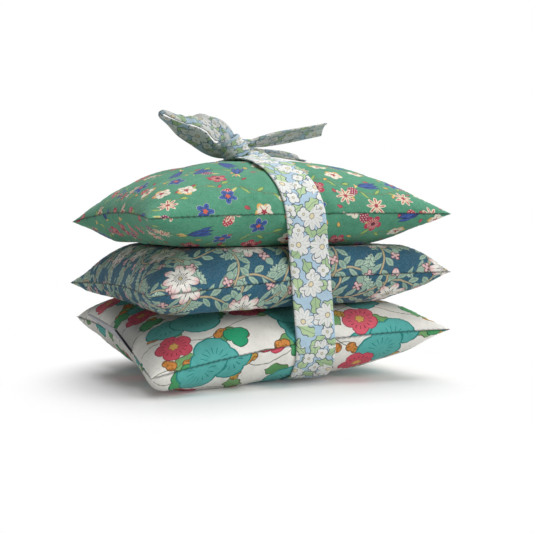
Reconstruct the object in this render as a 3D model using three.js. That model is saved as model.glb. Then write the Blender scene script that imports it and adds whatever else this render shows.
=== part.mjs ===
// Three square lavender sachets, stacked and bound once round by a cloth tie with a half bow.
// Millimetres, +Z up. The front is -Y, and the stack stands on z = 0.
import * as THREE from 'three';

// Sachet, all three alike
const sachet_side = 115;        // corner tip to corner tip
const side_draw = 4;            // how far the middle of each side is drawn in
const cloth_thickness = 0.8;    // one lawn panel
const seam_width = 1.2;         // flat rim where two panels meet
const clearance = 0.3;          // between faces that touch
const thread_diameter = 0.3;
const crown_flatness = 2.4;     // of the free crown, higher is flatter on top
const held_flatness = 3.9;      // of a face that lies against a sachet or the surface
const dome_roundness = 0.6;     // lower is steeper at the seam

// Heights in the stack, each measured from the sachet's own seam
const bottom_belly = 15.4;
const bottom_crown = 13.2;
const middle_belly = 9.5;
const middle_crown = 11.4;
const top_belly = 11.5;
const top_crown = 22.8;
// What each held face would rise to if it were free, over the height it is held to
const squeeze_shares = {
  bottom: { up: 1.0, down: 1.12 },
  middle: { up: 1.7, down: 1.65 },
  top: { down: 1.25 },
};

// Height of each corner tip over its sachet's seam level, and what the sides arch between them
const tips = {
  bottom: { front_left: -8.2, front_right: 3.2, back_left: 2.9, back_right: 3.4 },
  middle: { front_left: -4.3, front_right: 1.7, back_left: -6.5, back_right: 0.7 },
  top: { front_left: -1.7, front_right: 0, back_left: -3.3, back_right: -0.2 },
};
const arches = {
  bottom: { front_back: 2.9, left_right: 1.2 },
  middle: { front_back: 1.3, left_right: 1.9 },
  top: { front_back: 0.9, left_right: 3.2 },
};

// Tie
const tie_width = 15;
const tie_thickness = 1;        // a turned strip, pressed flat
const tie_press = 1;            // how deep the tie binds into the sachets
const tie_slant = 3;            // sideways run from the top of the stack to its foot
const tie_margin = 0.7;         // dent beyond the tie on each side
const joint_gap = 0.6;          // room for the cloth to turn at the knot

// Knot, set left of the middle and tilted towards the loop
const knot_offset = 5;
const knot_length = 10;
const knot_depth = 12;
const knot_height = 12.4;
const knot_tilt = THREE.MathUtils.degToRad(30);
const knot_squareness = 0.7;

// Loop and tails, all measured from the knot outwards
const loop_length = 25.5;
const loop_height = 11;
const loop_gather_share = 0.35; // of the loop's run, where it has spread to its full width
const loop_roll = THREE.MathUtils.degToRad(18);
// Its course, as shares of its length out from the knot and of its height up across
const loop_shares = [
  [0, 0.04], [0.1, 0.2], [0.25, 0.3], [0.45, 0.16], [0.7, -0.2], [0.9, -0.5], [0.985, -0.68],
  [1, -0.78], [0.965, -0.85], [0.86, -0.82], [0.65, -0.72], [0.45, -0.62], [0.25, -0.48], [0.1, -0.28], [0, -0.14],
];
const root_width = 9;           // the tie is gathered to this at the knot
const upper_tail_length = 32.5;
const upper_tail_rise = 6.5;
const upper_tail_roll = THREE.MathUtils.degToRad(-20);
const upper_tail_height = 1.2;  // of its root over the knot's middle
const lower_tail_length = 27;
const lower_tail_height = -2.2; // of its root over the knot's middle
const lower_tail_set_back = 8;
const tail_gather_share = 0.3;  // of a tail's length, where it has spread to its full width
// Courses of the tails, as shares of the length out from the knot and of the height to rise or to come down
const upper_tail_shares = [[0, 0], [0.25, 0.2], [0.5, 0.45], [0.75, 0.72], [1, 1]];
const lower_tail_shares = [[0, 1], [0.2, 0.72], [0.45, 0.3], [0.72, 0.08], [1, 0]];

// Folded label in the bottom sachet's left seam
const label_length = 42;
const label_depth = 10.5;
const label_thickness = 0.8;
const label_offset = -18.5;     // middle of the label along the side
const label_stand = THREE.MathUtils.degToRad(52);

// Facets
const columns_per_half = 7;
const rows_per_half = 6;
const row_share = 0.24;         // of the half side, where the closer rows start
const loop_steps = 26;
const tail_steps = 10;
const label_steps = 6;
const knot_rings = 10;
const knot_segments = 16;

const half_side = sachet_side / 2;
const dent_share = (tie_width / 2 + tie_slant / 2 + tie_margin) / half_side;

const bottom_top = bottom_belly + bottom_crown;
const middle_top = bottom_top + middle_belly + middle_crown;
const stack_height = middle_top + top_belly + top_crown;

const cloths = {
  green: new THREE.MeshStandardMaterial({ color: 0x488c70, roughness: 0.85 }),
  teal: new THREE.MeshStandardMaterial({ color: 0x2a6578, roughness: 0.85 }),
  ecru: new THREE.MeshStandardMaterial({ color: 0xded8c8, roughness: 0.85 }),
  tie: new THREE.MeshStandardMaterial({ color: 0xc8dcdc, roughness: 0.85 }),
  label: new THREE.MeshStandardMaterial({ color: 0x8c8a90, roughness: 0.6 }),
  thread: new THREE.MeshStandardMaterial({ color: 0xe4e0d4, roughness: 0.8 }),
  lavender: new THREE.MeshStandardMaterial({ color: 0x7c6f8e, roughness: 0.95 }),
};

const sachets = {
  bottom: {
    level: bottom_belly,
    floor: 0,
    ceiling: bottom_top - clearance / 2,
    up: bottom_crown * squeeze_shares.bottom.up,
    down: bottom_belly * squeeze_shares.bottom.down,
    cloth: cloths.ecru,
  },
  middle: {
    level: bottom_top + middle_belly,
    floor: bottom_top + clearance / 2,
    ceiling: middle_top - clearance / 2,
    up: middle_crown * squeeze_shares.middle.up,
    down: middle_belly * squeeze_shares.middle.down,
    cloth: cloths.teal,
  },
  top: {
    level: middle_top + top_belly,
    floor: middle_top + clearance / 2,
    ceiling: Infinity,
    up: top_crown,
    down: top_belly * squeeze_shares.top.down,
    cloth: cloths.green,
  },
};

// A closed solid gathered from grids, rims and strips of points
class Solid {
  constructor() {
    this.points = [];
  }

  triangle(a, b, c) {
    this.points.push(a, b, c);
  }

  quad(a, b, c, d) {
    this.triangle(a, b, c);
    this.triangle(a, c, d);
  }

  // A grid of points indexed [column][row]; each diagonal runs from the middle to a corner
  grid(points, faces_up) {
    const put = faces_up ? (a, b, c) => this.triangle(a, b, c) : (a, b, c) => this.triangle(a, c, b);
    const middle_column = (points.length - 1) / 2;
    const middle_row = (points[0].length - 1) / 2;
    for (let i = 0; i < points.length - 1; i++) {
      for (let j = 0; j < points[0].length - 1; j++) {
        const [a, b] = [points[i][j], points[i + 1][j]];
        const [c, d] = [points[i + 1][j + 1], points[i][j + 1]];
        if ((i < middle_column) === (j < middle_row)) {
          put(a, b, c);
          put(a, c, d);
        } else {
          put(a, b, d);
          put(b, c, d);
        }
      }
    }
  }

  // The band between two closed borders of equal length
  rim(outer, inner, faces_down) {
    for (let k = 0; k < outer.length; k++) {
      const next = (k + 1) % outer.length;
      if (faces_down) {
        this.quad(outer[next], outer[k], inner[k], inner[next]);
      } else {
        this.quad(outer[k], outer[next], inner[next], inner[k]);
      }
    }
  }

  // A run of equal sections, closed on itself or capped at both ends
  sections(rings, closed) {
    const sides = rings[0].length;
    const runs = closed ? rings.length : rings.length - 1;
    for (let k = 0; k < runs; k++) {
      const here = rings[k];
      const there = rings[(k + 1) % rings.length];
      for (let s = 0; s < sides; s++) {
        const t = (s + 1) % sides;
        this.quad(here[s], here[t], there[t], there[s]);
      }
    }
    if (!closed) {
      const [first, last] = [rings[0], rings[rings.length - 1]];
      for (let s = 1; s < sides - 1; s++) {
        this.triangle(first[0], first[s + 1], first[s]);
        this.triangle(last[0], last[s], last[s + 1]);
      }
    }
  }

  geometry() {
    return new THREE.BufferGeometry().setFromPoints(this.points);
  }
}

const object = new THREE.Group();

function addPiece(name, geometry, material) {
  geometry.computeVertexNormals();
  const mesh = new THREE.Mesh(geometry, material);
  mesh.name = name;
  object.add(mesh);
  return mesh;
}

// Grid lines from -1 to 1, closer together towards the seam
function gridLines(first, count) {
  const lines = [];
  for (let i = 0; i < count; i++) {
    lines.push(first + (1 - first) * Math.sin((Math.PI / 2) * (i / (count - 1))));
  }
  return [...lines.map((line) => -line).reverse(), 0, ...lines];
}

const columns = gridLines(dent_share, columns_per_half);
const rows = gridLines(row_share, rows_per_half);

// Height of the seam surface at (u, v), which run from -1 to 1 across the sachet
function seamHeight(name, u, v) {
  const tip = tips[name];
  const arch = arches[name];
  const right = (1 + u) / 2;
  const back = (1 + v) / 2;
  const front_height = tip.front_left * (1 - right) + tip.front_right * right;
  const back_height = tip.back_left * (1 - right) + tip.back_right * right;
  const plane = front_height * (1 - back) + back_height * back;
  const bend = arch.front_back * (1 - u * u) * v * v + arch.left_right * (1 - v * v) * u * u;
  return sachets[name].level + plane + bend;
}

// How far a face has risen at (u, v), from 0 at the seam to 1 in the middle
function swellAt(u, v, flatness) {
  return ((1 - Math.abs(u) ** flatness) * (1 - Math.abs(v) ** flatness)) ** dome_roundness;
}

// A point of one face (1 upper, -1 lower), set in by edge at the seam and by skin elsewhere
function facePoint(name, u, v, face, { edge, skin, rim }) {
  const sachet = sachets[name];
  const under_tie = Math.abs(u) <= dent_share;
  const dent = under_tie ? tie_press : 0;
  const half_x = half_side - side_draw * (1 - v * v);
  const half_y = half_side - side_draw * (1 - u * u) - dent;
  const [u_in, v_in] = [u * (1 - edge / half_x), v * (1 - edge / half_y)];
  const [x, y] = [u_in * half_x, v_in * half_y];
  const swell = swellAt(u, v, name === 'top' && face > 0 ? crown_flatness : held_flatness);
  const crown = face > 0 ? sachet.up - (name === 'top' ? dent : 0) : sachet.down;
  const floor = sachet.floor + (name === 'bottom' && under_tie ? tie_thickness + clearance : 0);
  const free = seamHeight(name, u_in, v_in) + face * (rim + (crown - skin) * swell);
  return new THREE.Vector3(x, y, Math.max(floor + skin, Math.min(sachet.ceiling - skin, free)));
}

function faceGrid(name, face, inset) {
  return columns.map((u) => rows.map((v) => facePoint(name, u, v, face, inset)));
}

// The border of a grid, anticlockwise seen from above
function border(grid) {
  const last_column = grid.length - 1;
  const last_row = grid[0].length - 1;
  return [
    ...grid.slice(0, last_column).map((column) => column[0]),
    ...grid[last_column].slice(0, last_row),
    ...grid.slice(1).reverse().map((column) => column[last_row]),
    ...grid[0].slice(1).reverse(),
  ];
}

const outside = { edge: 0, skin: 0, rim: clearance / 2 };
const inside = { edge: seam_width, skin: cloth_thickness, rim: clearance / 2 };
const thread_edge = seam_width + clearance + thread_diameter / 2;
const filling_inset = {
  edge: thread_edge + thread_diameter / 2 + clearance,
  skin: cloth_thickness + clearance,
  rim: 0,
};

function makePanel(name, face) {
  const outer = faceGrid(name, face, outside);
  const inner = faceGrid(name, face, inside);
  const solid = new Solid();
  solid.grid(outer, face > 0);
  solid.grid(inner, face < 0);
  solid.rim(border(outer), border(inner), face > 0);
  return solid.geometry();
}

function makeFilling(name) {
  const solid = new Solid();
  solid.grid(faceGrid(name, 1, filling_inset), true);
  solid.grid(faceGrid(name, -1, filling_inset), false);
  return solid.geometry();
}

// The closing seam's thread, one loop just inside the rims
function makeSeamThread(name) {
  const route = border(faceGrid(name, 1, { edge: thread_edge, skin: 0, rim: 0 }));
  const middle = new THREE.Vector3(0, 0, sachets[name].level);
  const radius = thread_diameter / 2;
  const rings = route.map((point) => {
    const out = point.clone().sub(middle).setZ(0).normalize().multiplyScalar(radius);
    const up = new THREE.Vector3(0, 0, radius);
    return [
      point.clone().add(out),
      point.clone().add(up),
      point.clone().sub(out),
      point.clone().sub(up),
    ];
  });
  const solid = new Solid();
  solid.sections(rings.reverse(), true);
  return solid.geometry();
}

for (const name of ['bottom', 'middle', 'top']) {
  addPiece(`${name}_lower_panel`, makePanel(name, -1), sachets[name].cloth);
  addPiece(`${name}_upper_panel`, makePanel(name, 1), sachets[name].cloth);
  addPiece(`${name}_filling`, makeFilling(name), cloths.lavender);
  addPiece(`${name}_seam_thread`, makeSeamThread(name), cloths.thread);
}

// Outline of the bound stack in the plane of the tie, as [y, z], convex and anticlockwise
function boundOutline() {
  const points = [];
  for (const name of ['bottom', 'middle', 'top']) {
    for (const u of [-dent_share, 0, dent_share]) {
      for (const v of rows) {
        for (const face of [-1, 1]) {
          const point = facePoint(name, u, v, face, outside);
          points.push([point.y, point.z]);
        }
      }
    }
  }
  points.sort((p, q) => p[0] - q[0] || p[1] - q[1]);
  const turn = (o, p, q) => (p[0] - o[0]) * (q[1] - o[1]) - (p[1] - o[1]) * (q[0] - o[0]);
  const chain = (list) => {
    const kept = [];
    for (const point of list) {
      while (kept.length > 1 && turn(kept[kept.length - 2], kept[kept.length - 1], point) <= 0) {
        kept.pop();
      }
      kept.push(point);
    }
    return kept.slice(0, -1);
  };
  return [...chain(points), ...chain([...points].reverse())];
}

// A convex outline moved out by a distance, corner for corner
function grow(outline, distance) {
  return outline.map((point, k) => {
    const before = outline[(k + outline.length - 1) % outline.length];
    const after = outline[(k + 1) % outline.length];
    const normal = ([p, q]) => {
      const [dy, dz] = [q[0] - p[0], q[1] - p[1]];
      const length = Math.hypot(dy, dz);
      return [dz / length, -dy / length];
    };
    const [n, m] = [normal([before, point]), normal([point, after])];
    const mitre = distance / (1 + n[0] * m[0] + n[1] * m[1]);
    return [point[0] + (n[0] + m[0]) * mitre, point[1] + (n[1] + m[1]) * mitre];
  });
}

const outline = boundOutline();
const tie_inner = grow(outline, clearance);
const tie_outer = grow(outline, clearance + tie_thickness);
const tie_top = Math.max(...tie_outer.map(([, z]) => z));

function tieMiddle(z) {
  return tie_slant * (0.5 - z / stack_height);
}

function makeBand() {
  const rings = tie_inner.map(([inner_y, inner_z], k) => {
    const [outer_y, outer_z] = tie_outer[k];
    const left = tieMiddle(outer_z) - tie_width / 2;
    const right = tieMiddle(outer_z) + tie_width / 2;
    return [
      new THREE.Vector3(left, inner_y, inner_z),
      new THREE.Vector3(right, inner_y, inner_z),
      new THREE.Vector3(right, outer_y, outer_z),
      new THREE.Vector3(left, outer_y, outer_z),
    ];
  });
  const solid = new Solid();
  solid.sections(rings, true);
  return solid.geometry();
}

addPiece('tie_band', makeBand(), cloths.tie);

// The knot, a rounded lump with its own frame: out to the loop, up across it
const knot_out = new THREE.Vector3(-Math.cos(knot_tilt), 0, Math.sin(knot_tilt));
const knot_up = new THREE.Vector3(Math.sin(knot_tilt), 0, Math.cos(knot_tilt));

function makeKnot() {
  const soften = (share) => Math.sign(share) * Math.abs(share) ** knot_squareness;
  const geometry = new THREE.SphereGeometry(1, knot_segments, knot_rings);
  const place = geometry.attributes.position;
  for (let k = 0; k < place.count; k++) {
    const [out, deep, up] = [place.getX(k), place.getZ(k), place.getY(k)].map(soften);
    const point = new THREE.Vector3(0, (-deep * knot_depth) / 2, 0);
    point.addScaledVector(knot_out, (-out * knot_length) / 2);
    point.addScaledVector(knot_up, (up * knot_height) / 2);
    place.setXYZ(k, point.x, point.y, point.z);
  }
  geometry.deleteAttribute('uv');
  return geometry;
}

const knot_geometry = makeKnot();
knot_geometry.computeBoundingBox();
const knot_middle = new THREE.Vector3(-knot_offset, 0, tie_top + clearance - knot_geometry.boundingBox.min.z);
addPiece('tie_knot', knot_geometry, cloths.tie).position.copy(knot_middle);

// A flat strip along stations of { at, across, along, width, thickness }
function makeStrip(stations) {
  const rings = stations.map(({ at, across, along, width, thickness }) => {
    const side = across.clone().normalize().multiplyScalar(width / 2);
    const up = new THREE.Vector3().crossVectors(along, across).normalize().multiplyScalar(thickness / 2);
    return [
      at.clone().add(side).sub(up),
      at.clone().add(side).add(up),
      at.clone().sub(side).add(up),
      at.clone().sub(side).sub(up),
    ];
  });
  const solid = new Solid();
  solid.sections(rings, false);
  return solid.geometry();
}

// Width of the gathered tie at a share of the way from the knot to where it lies flat
function gatheredWidth(share) {
  const eased = THREE.MathUtils.smoothstep(share, 0, 1);
  return root_width + (tie_width - root_width) * eased;
}

const loop_root = knot_middle.clone().addScaledVector(knot_out, knot_length / 2 + joint_gap);

function makeLoop() {
  const curve = new THREE.CatmullRomCurve3(loop_shares.map(([out, up]) => loop_root.clone()
    .addScaledVector(knot_out, out * loop_length)
    .addScaledVector(knot_up, up * loop_height)));
  const stations = [];
  for (let k = 0; k <= loop_steps; k++) {
    const share = k / loop_steps;
    const away = Math.min(share, 1 - share) / loop_gather_share;
    const along = curve.getTangentAt(share);
    const roll = loop_roll * Math.sin(2 * Math.PI * Math.min(share, 1 - share));
    const across = new THREE.Vector3(0, 1, 0).applyAxisAngle(knot_out, roll);
    stations.push({
      at: curve.getPointAt(share),
      across,
      along,
      width: gatheredWidth(away),
      thickness: tie_thickness,
    });
  }
  return makeStrip(stations);
}

addPiece('tie_loop', makeLoop(), cloths.tie);

// A tail leaves the knot's right side along +X and turns about its own length as it goes
const tail_root_x = knot_middle.x + knot_geometry.boundingBox.max.x + joint_gap;

function makeTail(points, roll) {
  const curve = new THREE.CatmullRomCurve3(points);
  const stations = [];
  for (let k = 0; k <= tail_steps; k++) {
    const share = k / tail_steps;
    const along = curve.getTangentAt(share);
    const level_across = new THREE.Vector3().crossVectors(new THREE.Vector3(0, 0, 1), along).normalize();
    const across = level_across.applyAxisAngle(along, roll * THREE.MathUtils.smoothstep(share, 0, 1));
    stations.push({
      at: curve.getPointAt(share),
      across,
      along,
      width: gatheredWidth(share / tail_gather_share),
      thickness: tie_thickness,
    });
  }
  return makeStrip(stations);
}

const upper_tail_root = new THREE.Vector3(tail_root_x, 0, knot_middle.z + upper_tail_height);
const upper_tail_points = upper_tail_shares.map(([out, up]) => upper_tail_root.clone()
  .add(new THREE.Vector3(out * upper_tail_length, 0, up * upper_tail_rise)));
addPiece('tie_upper_tail', makeTail(upper_tail_points, upper_tail_roll), cloths.tie);

// The crown's height over z = 0 at a place on the top sachet
function crownHeight(x, y) {
  const u = Math.min(1, Math.abs(x) / half_side) * Math.sign(x);
  const v = Math.min(1, Math.abs(y) / half_side) * Math.sign(y);
  return seamHeight('top', u, v) + top_crown * swellAt(u, v, crown_flatness);
}

// The lower tail comes down from the knot and lies along the crown behind the band
const lower_tail_root = new THREE.Vector3(tail_root_x, 0, knot_middle.z + lower_tail_height);
const lower_tail_points = lower_tail_shares.map(([out, up]) => {
  const x = lower_tail_root.x + out * lower_tail_length;
  const y = out * lower_tail_set_back;
  const lying = Math.max(crownHeight(x, y), crownHeight(x, y - tie_width / 2)) + tie_thickness / 2 + clearance;
  const z = lying + (lower_tail_root.z - lying) * up;
  return new THREE.Vector3(x, y, z);
});
addPiece('tie_lower_tail', makeTail(lower_tail_points, 0), cloths.tie);

// The label stands out and up from the left seam, as one pressed fold
function makeLabel() {
  const across = new THREE.Vector3(-Math.cos(label_stand), 0, Math.sin(label_stand));
  const seat = clearance + label_thickness / 2;
  const edge = [];
  for (let k = 0; k <= label_steps; k++) {
    const y = label_offset + label_length * (k / label_steps - 0.5);
    const v = y / half_side;
    const x = -(half_side - side_draw * (1 - v * v)) - seat;
    edge.push(new THREE.Vector3(x, y, seamHeight('bottom', -1, v)));
  }
  const curve = new THREE.CatmullRomCurve3(edge);
  const stations = edge.map((point, k) => ({
    at: point.clone().addScaledVector(across, label_depth / 2),
    across,
    along: curve.getTangent(k / label_steps),
    width: label_depth,
    thickness: label_thickness,
  }));
  return makeStrip(stations);
}

addPiece('side_label', makeLabel(), cloths.label);

// The origin is under the middle of the whole object's box, on the surface it stands on
const whole = new THREE.Box3().setFromObject(object, true);
const middle = whole.getCenter(new THREE.Vector3());
object.position.set(-middle.x, -middle.y, -whole.min.z);

export default object;
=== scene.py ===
import math

import bpy
import numpy as np
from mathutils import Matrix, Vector


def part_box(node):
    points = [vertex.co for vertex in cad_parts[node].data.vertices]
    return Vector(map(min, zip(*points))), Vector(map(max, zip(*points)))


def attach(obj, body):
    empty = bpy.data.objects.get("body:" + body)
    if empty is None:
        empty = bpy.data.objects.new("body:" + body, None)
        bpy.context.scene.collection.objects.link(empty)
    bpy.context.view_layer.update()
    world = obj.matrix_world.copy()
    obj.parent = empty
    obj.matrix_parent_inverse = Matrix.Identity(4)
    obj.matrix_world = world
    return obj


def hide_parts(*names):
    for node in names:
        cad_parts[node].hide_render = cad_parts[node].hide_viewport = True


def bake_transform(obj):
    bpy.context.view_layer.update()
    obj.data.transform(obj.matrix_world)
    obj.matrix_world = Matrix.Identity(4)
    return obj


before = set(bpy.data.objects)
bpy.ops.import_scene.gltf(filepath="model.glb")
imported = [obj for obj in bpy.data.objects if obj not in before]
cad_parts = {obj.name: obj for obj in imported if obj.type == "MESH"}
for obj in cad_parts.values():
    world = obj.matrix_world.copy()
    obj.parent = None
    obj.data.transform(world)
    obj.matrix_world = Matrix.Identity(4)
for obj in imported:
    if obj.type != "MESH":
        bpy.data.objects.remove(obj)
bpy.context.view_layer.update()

# Three printed lavender sachets, bound once round by a cloth tie with a half bow.
# Sizes are in millimetres and turn into metres where a mesh is made.
MM = 0.001
UP = np.array([0, 0, 1.0])
BACK = np.array([0, 1.0, 0])
RIGHT = np.array([1.0, 0, 0])


def node_box(node):
    """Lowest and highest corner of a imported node, in millimetres."""
    low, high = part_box(node)
    return np.array(low) / MM, np.array(high) / MM


# Sachets: heights over the surface they stand on, and the corner tips front left, front right, back
# left, back right
panel_low, panel_high = node_box("bottom_lower_panel")
STACK_X = (panel_low[0] + panel_high[0]) / 2
HALF_SIDE = (panel_high[1] - panel_low[1]) / 2
SIDE_DRAW = 4.0
FRONT_FALL = 1.6
CROWN_FLATNESS = 2.4
HELD_FLATNESS = 3.9
DOME_ROUNDNESS = 0.6
SACHETS = {
    "bottom": dict(level=15.4, floor=0.0, ceiling=28.45, up=13.2, down=17.25, upper_flatness=HELD_FLATNESS,
                   tips=(-8.2, 3.2, 1.8, 3.4), arches=(2.9, 1.2), ear=1.1, slot="ecru_print", fill=0.75),
    "middle": dict(level=38.1, floor=28.75, ceiling=49.35, up=19.4, down=15.7, upper_flatness=HELD_FLATNESS,
                   tips=(-4.3, 1.7, -6.5, 0.7), arches=(1.3, 1.9), ear=-0.9, slot="teal_print", fill=0.75),
    "top": dict(level=61.0, floor=49.65, ceiling=200.0, up=21.9, down=14.4, upper_flatness=CROWN_FLATNESS,
                tips=(-1.7, 0.0, -3.3, -0.2), arches=(0.9, 3.2), ear=0.0, slot="green_print", fill=0.85),
}
STACK_HEIGHT = 83.8
SIDE_CELLS = 112
FILLING_CELLS = 56
FILLING_EDGE = 3.4
FILLING_SKIN = 2.4

# The bottom sachet's front left corner is tucked in and full below, and its back left corner is
# pressed thin
TUCK_IN = 1.0
TUCK_REACH = 8.0
TUCK_FILL = 2.6
EAR_REACH = 5.0
# The middle sachet sags over the bottom one's front left corner
SAG = 2.3
SAG_SPREAD = 1.6
CONTACT_SOFTNESS = 0.9
TUCK_FILL_PLACE = 0.8  # share of the tuck's reach
TUCK_FILL_EDGE = 0.3
EAR_PRESS = 0.8

# How the cloth of a sachet settles
SETTLE_STEPS = 110
SETTLE_REACH = 2.2
SETTLE_EASE = 0.985
SEAM_GATHER = 0.972
SPARE_CLOTH = 0.003
SEAM_SPARE_CLOTH = 0.034
SPARE_DEPTH = 10.0
SHEAR_STIFFNESS = 0.15
BEND_STIFFNESS = 0.08
FIRST_RUFFLE = 0.14
LUMP_HEIGHT = 0.5
LUMP_LENGTH = 17.0
LUMP_MARGIN = 9.0
LUMP_WAVES = 9
LUMP_SPREAD = (0.8, 2.2)
RUFFLE_SEED = 50
# The tie binds at every third step, and at all of the last
BIND_EVERY = 3
LAST_STEPS = 6

# Tie: one turned strip
TIE_WIDTH = 15.4
TIE_THICKNESS = 1.0
TIE_SLANT = 7.4
TIE_SHIFT = 2.4
BAND_STEP = 1.2
BAND_COLUMNS = 33
BAND_GATHER = 0.25
BAND_GATHER_REACH = 8.0
BAND_PLEATS = 5
BAND_NARROWING = 0.06
BAND_DRAW = 3.2
BAND_LIFT = 3.2
BAND_LIFT_EDGE = (-0.9, 0.5)
BAND_SMOOTHINGS = 5
STRIP_EDGE_POWER = 8
STRIP_END_POWER = 40
STRIP_HOLLOW = 0.18
CURVE_STEPS = 24
BIND_DEPTH = 0.08
BIND_MARGIN = 0.4
BIND_REACH = 7.0
BIND_SLOPE = 0.45

# Half bow: places are measured from near the knot's middle, [right, back, up]
knot_low, knot_high = node_box("tie_knot")
KNOT = np.array([(knot_low[0] + knot_high[0]) / 2 - 1.0, 0.0, knot_low[2] + 4.9])
SLEEVE_SHIFT = np.array([-0.5, 0.0, -1.1])
SLEEVE_AXIS = np.array([-0.65, 0.0, 0.76])
SLEEVE_RISE = np.array([0.86, 0.0, 0.51])
SLEEVE_HALF_HEIGHT = 4.6
SLEEVE_HALF_DEPTH = 6.4
SLEEVE_SQUARENESS = 2.7
SLEEVE_FOOT = -6.2
SLEEVE_PLEAT = 1.75
SLEEVE_PLEAT_SHARE = 0.04
SLEEVE_CLOTH_SHARE = 15 / 8.5
# [along the sleeve, towards the loop; share of its radius]
SLEEVE_PROFILE = [(-2.4, 0.25), (-3.4, 0.5), (-4.2, 0.74), (-4.5, 0.92), (-3.9, 1.04), (-2.4, 1.08),
                  (-0.6, 1.07), (1.2, 1.03), (2.1, 0.98), (2.45, 0.97), (2.7, 1.02), (3.2, 1.06),
                  (3.7, 1.04), (3.8, 0.97), (3.4, 0.88), (2.4, 0.7), (1.4, 0.4)]
SLEEVE_FOLD = (2.5, 2.75)
SLEEVE_OUTSIDE = (0.85, 1.0)
SLEEVE_WANDER = [(0.55, 1, 0.6), (0.3, 2, 2.0)]  # millimetres, times round, turn
SLEEVE_RINGS = 90
SLEEVE_SIDES = 120

# Loop edges, from the lower leg's root round the tip to the upper leg's root
LOOP_FAR = [(2.0, 2.0, -3.6), (-2.2, 3.4, -5.0), (-6.2, 4.4, -4.6), (-10.2, 5.2, -3.0),
            (-13.2, 5.7, -1.4), (-16.4, 5.9, 0.3), (-19.4, 5.5, 2.0), (-22.5, 4.5, 4.2),
            (-26.3, 2.6, 7.5), (-29.2, 1.0, 10.4), (-28.7, 1.0, 11.4), (-27.0, 1.4, 11.6),
            (-22.6, 3.0, 10.8), (-19.0, 4.2, 10.4), (-16.0, 5.2, 10.3), (-13.4, 6.0, 10.6),
            (-10.6, 6.4, 11.7), (-4.8, 6.2, 10.7), (-1.2, 5.2, 8.7), (0.9, 4.0, 5.8),
            (1.6, 2.6, 3.4), (2.2, 1.6, 0.8)]
LOOP_NEAR = [(1.0, -2.0, -2.0), (-2.6, -2.8, -0.9), (-5.6, -3.5, -0.2), (-8.4, -4.9, 0.0),
             (-10.9, -6.1, 1.2), (-13.2, -6.8, 3.6), (-16.8, -6.8, 5.5), (-21.7, -6.2, 6.8),
             (-26.0, -4.6, 8.4), (-28.9, -2.6, 10.0), (-28.7, -2.6, 10.4), (-26.8, -4.3, 9.1),
             (-23.6, -5.7, 7.7), (-20.6, -6.3, 6.9), (-17.8, -6.7, 6.2), (-15.4, -7.0, 5.2),
             (-13.2, -6.9, 4.0), (-11.2, -6.2, 2.2), (-9.4, -5.3, 0.9), (-6.6, -3.7, 0.6),
             (-3.9, -2.5, 0.0), (-0.4, -1.8, -1.0)]
LOOP_STATIONS = 190
LOOP_COLUMNS = 33
LOOP_BULGE = -0.7
LOOP_GATHER_FADE = 11
LOOP_CRUMPLE = dict(pleats=2.5, pleat_height=0.55, fold_height=0.3, seed=4)
# A crease along the upper leg, from one [share along the loop, share of its width] to another, and
# wrinkles over it
LOOP_CREASE = [(0.70, 0.12), (0.90, 0.60)]
LOOP_CREASE_WIDTH = 0.09
LOOP_CREASE_POWER = 1.3
LOOP_CREASE_ENDS = [(-0.02, 0.03), (-0.02, 0.04)]
LOOP_RIDGE = -1.3
LOOP_WRINKLES = [(0.61, 0.4, 0.010), (0.64, -0.35, 0.012), (0.675, 0.5, 0.012)]
WRINKLE_SWAY = 0.012
WRINKLE_POWER = 0.6

# Tail edges from their roots: the upper tail leans forward over its lower edge, and the lower tail
# lies on the crown
TAILS = {
    "upper": dict(
        seed=6,
        far=[(1.0, -1.0, 1.4), (7.4, -2.5, 1.4), (10.8, -4.5, 2.9), (17.9, -6.0, 5.1),
             (24.2, -6.3, 6.3), (32.7, -6.5, 7.8), (38.2, -6.5, 9.0)],
        near=[(1.0, 1.8, -1.4), (7.6, 2.4, -0.9), (11.4, 3.6, -0.5), (17.0, 6.0, 0.0),
              (23.4, 6.9, 1.1), (32.2, 7.2, 3.0), (42.0, 7.0, 5.1)]),
    "lower": dict(
        seed=9,
        far=[(1.0, 2.6, -1.6), (7.0, 4.6, -1.2), (13.0, 6.6, -0.8), (19.4, 8.2, -1.0),
             (25.8, 9.2, -1.7), (32.2, 9.6, -3.0)],
        near=[(1.0, -2.4, -3.2), (6.5, -3.4, -3.6), (12.1, -4.4, -4.0), (17.9, -4.9, -4.7),
              (23.9, -4.9, -5.5), (29.9, -4.4, -6.3)]),
}
GATHERED_CLOTH = 0.9
# Shares of painted shade over the cloth of the loop, the tails and the knot, whose faces turn away from the
# light
SHADED_LOOP, SHADED_TAILS, SHADED_KNOT = 0.38, 0.24, 0.15
TAIL_STATIONS = 110
TAIL_COLUMNS = 29
TAIL_BULGE = 0.9
TAIL_GATHER_FADE = 4
TAIL_CRUMPLE = dict(pleats=3.0, pleat_height=1.0, fold_height=0.25)
PLEAT_SWAY = 1.1
PLEAT_SWAY_WAVES = 5
FOLD_STRETCH = np.array([1.6, 1.0, 1.6])
FOLD_FLATTENING = 0.6
# Where each strip lies on its printed cloth, and how far on the cloth of a lower face lies
CLOTH_PLACES = {"band": (0, 900), "loop": (6, 1000), "knot": (60, 1100),
                "upper": (20, 1180), "lower": (80, 1240),
                "label": (0, 1300)}
STRIP_BACK = np.array([0, 40.0])
SACHET_CLOTH = 300.0
PANEL_BACK = 150.0

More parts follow.
